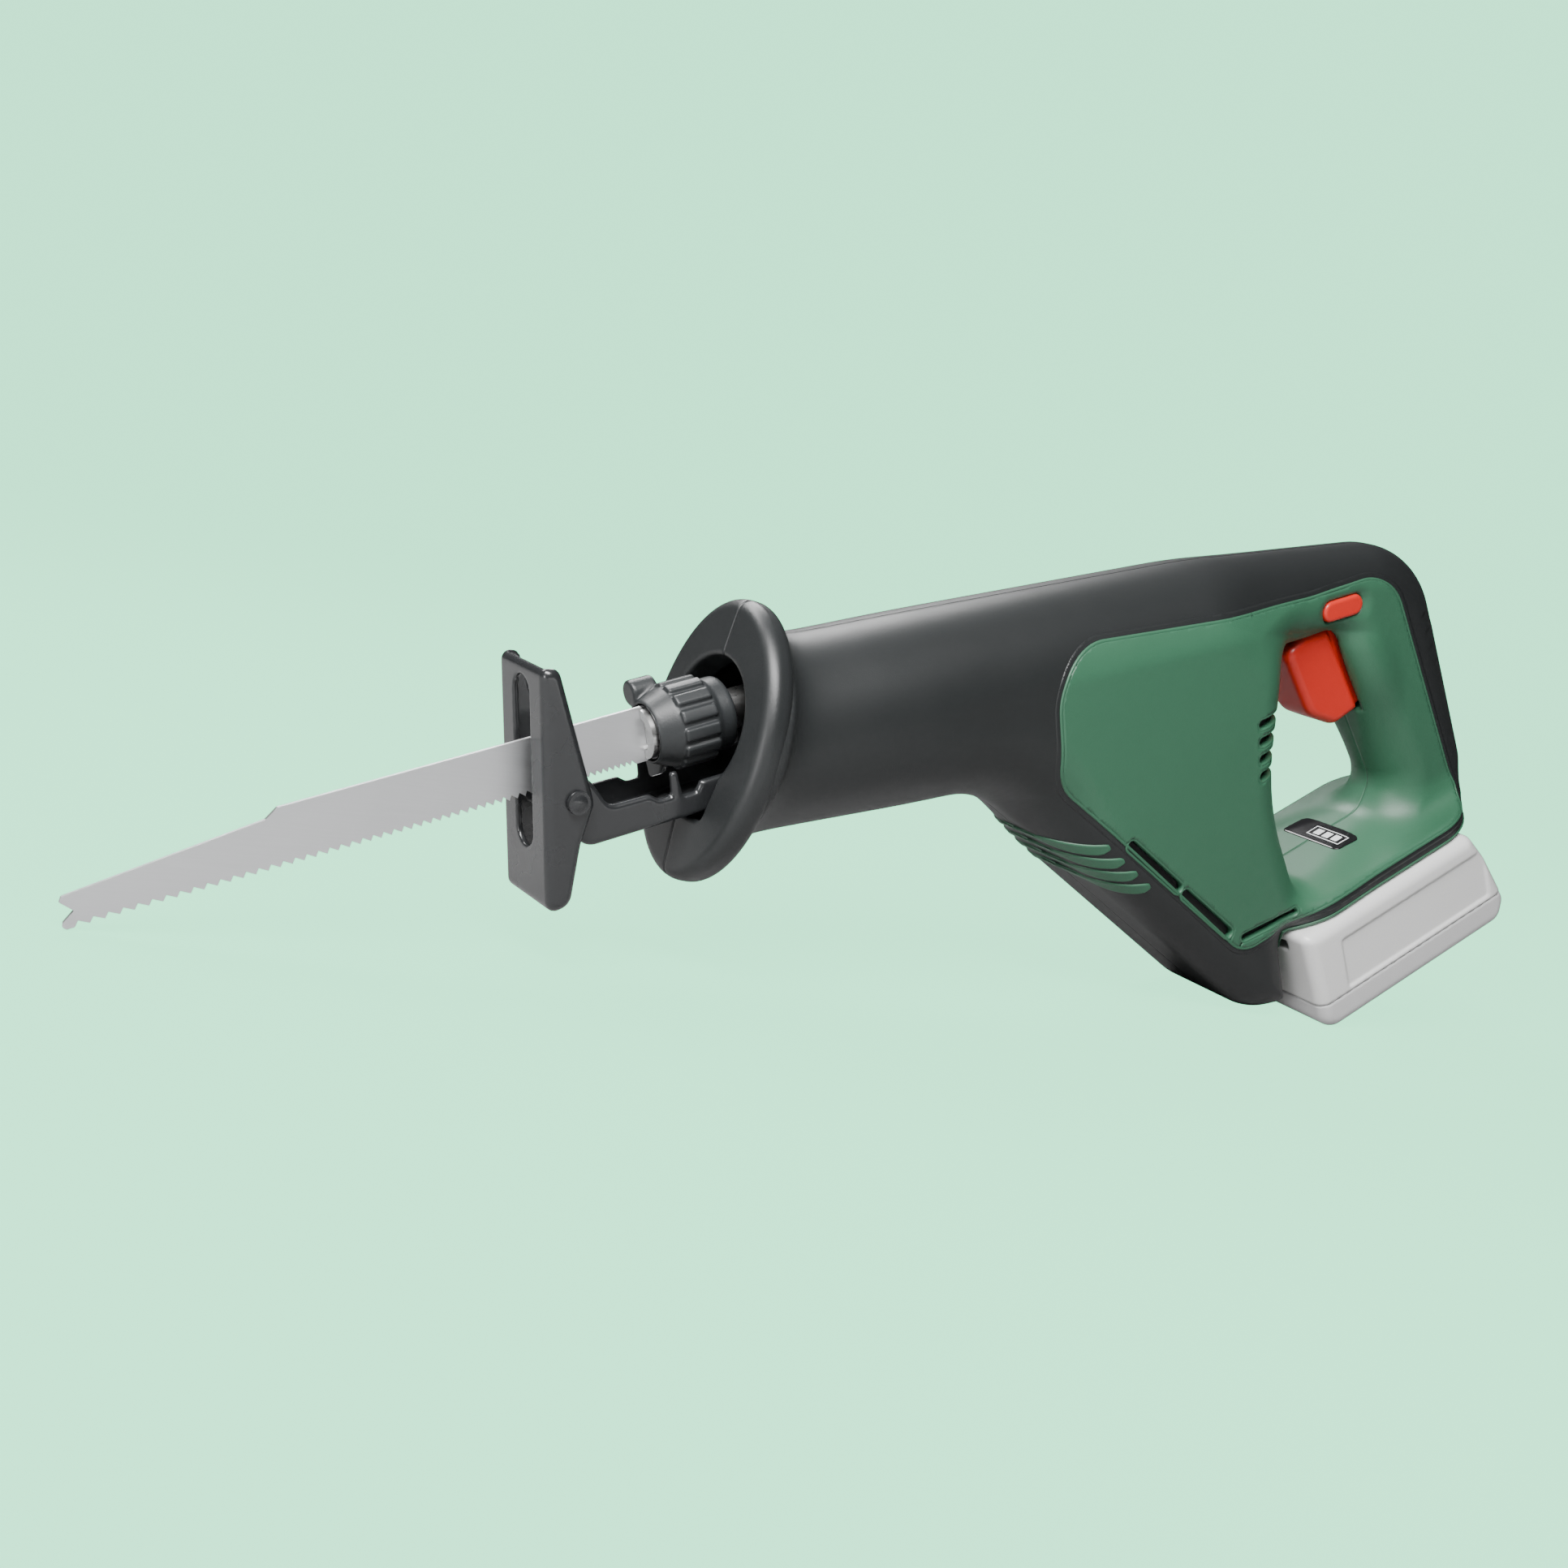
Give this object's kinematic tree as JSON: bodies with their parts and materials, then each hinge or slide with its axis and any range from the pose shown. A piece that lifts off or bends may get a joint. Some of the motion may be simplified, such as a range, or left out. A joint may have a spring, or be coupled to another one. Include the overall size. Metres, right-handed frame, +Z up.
{
  "type": "cordless reciprocating saw",
  "caption": "Hand-held reciprocating saw with D-shaped grip, tilting shoe, keyless blade clamp and a slide-on battery pack.",
  "frame": {"origin": "middle of the saw's bounding box in plan, on the surface that it rests on", "axes": "+Z up; +X from the blade tip towards the grip; +Y across the tool, to the right of a person holding it; the blade line falls 21.4 degrees towards the tip, as the saw rests on its battery and its blade tip"},
  "size_m": [0.5567, 0.074, 0.184],
  "materials": {
    "soft_black": "satin moulded soft grip",
    "hard_green": "fine-eroded moulded plastic",
    "black_plastic": "moulded plastic",
    "red_plastic": "satin moulded plastic",
    "black_steel": "black coated pressed sheet",
    "bright_steel": "ground steel",
    "blade_steel": "satin printed saw steel",
    "dark_steel": "oiled dark steel",
    "cast_alloy": "die cast",
    "bronze": "sintered bronze",
    "copper": "copper windings",
    "pale_plastic": "pale moulded plastic",
    "grey_plastic": "grey moulded plastic",
    "board_green": "solder mask",
    "cell_wrap": "shrink-wrapped cells",
    "fan_plastic": "natural moulded plastic",
    "gauge_black": "gloss film"
  },
  "bodies": {
    "body": {"front_bush": "bronze", "rear_bush": "bronze", "shaft_seal": "soft_black", "gear_case": "cast_alloy", "gear_case_cover": "cast_alloy", "crank_axle": "bright_steel", "motor_can": "bright_steel", "motor_end_cap": "black_plastic", "motor_magnets": "dark_steel", "carbon_brushes": "black_plastic", "front_bearing": "bright_steel", "rear_bearing": "bright_steel", "support_arm": "black_steel", "arm_screws": "dark_steel", "shoe_rivets": "black_steel", "guard_left": "soft_black", "guard_right": "soft_black", "housing_left": "hard_green", "housing_right": "hard_green", "skin_left": "soft_black", "skin_right": "soft_black", "housing_screws": "black_steel", "switch_module": "black_plastic", "control_board": "board_green", "gauge_window": "gauge_black", "rail_block": "black_plastic", "tool_terminals": "bronze"},
    "plunger": {"plunger_rod": "bright_steel", "blade": "blade_steel", "blade_holder": "dark_steel", "holder_ring": "bright_steel", "clamp_pin": "bright_steel", "collar_spring": "dark_steel"},
    "collar": {"clamp_collar": "black_plastic"},
    "shoe": {"shoe": "black_steel"},
    "crank": {"crank_gear": "dark_steel", "crank_pin": "bright_steel", "crank_roller": "bright_steel"},
    "rotor": {"rotor_shaft": "bright_steel", "armature": "copper", "commutator": "copper", "pinion": "bright_steel", "fan": "fan_plastic"},
    "trigger": {"trigger": "red_plastic"},
    "lock_off": {"lock_off_button": "red_plastic"},
    "pack": {"pack_case": "grey_plastic", "pack_lid": "pale_plastic", "pack_cells": "cell_wrap", "cell_straps": "bright_steel", "pack_board": "board_green", "pack_terminals": "bronze"},
    "pack_latch": {"pack_release": "grey_plastic"}
  },
  "joints": [
    {"name": "plunger_stroke", "type": "slide", "parent": "body", "child": "plunger", "axis": [0.9308, 0, 0.3654], "range_m": [-0.014, 0.014]},
    {"name": "collar_twist", "type": "hinge", "parent": "plunger", "child": "collar", "pos_m": [-0.11045, 0, 0.07443], "axis": [0.9308, 0, 0.3654], "range_deg": [0, 50], "stiffness_Nm_per_rad": 0.12, "springref_deg": -14.32},
    {"name": "shoe_tilt", "type": "hinge", "parent": "body", "child": "shoe", "pos_m": [-0.13673, 0, 0.0538], "axis": [0, 1, 0], "range_deg": [-25, 22]},
    {"name": "motor_spin", "type": "hinge", "parent": "body", "child": "rotor", "pos_m": [0.01108, 0, 0.09324], "axis": [0.9308, 0, 0.3654], "continuous": true},
    {"name": "crank_spin", "type": "hinge", "parent": "body", "child": "crank", "pos_m": [-0.02065, 0, 0.09196], "axis": [-0.3654, 0, 0.9308], "continuous": true},
    {"name": "trigger_pull", "type": "slide", "parent": "body", "child": "trigger", "axis": [0.7017, 0, 0.7124], "range_m": [0, 0.008], "stiffness_N_per_m": 500, "springref_m": -0.004},
    {"name": "lock_off_press", "type": "slide", "parent": "body", "child": "lock_off", "axis": [0, 1, 0], "range_m": [0, 0.003], "stiffness_N_per_m": 400, "springref_m": -0.002},
    {"name": "pack_slide", "type": "slide", "parent": "body", "child": "pack", "axis": [0.8487, 0, 0.5289], "range_m": [0, 0.09]},
    {"name": "release_press", "type": "slide", "parent": "pack", "child": "pack_latch", "axis": [-0.8487, 0, -0.5289], "range_m": [0, 0.003], "stiffness_N_per_m": 500, "springref_m": -0.002}
  ],
  "couplings": [
    {"joint": "crank_spin", "follows": "motor_spin", "ratio": -0.2}
  ]
}
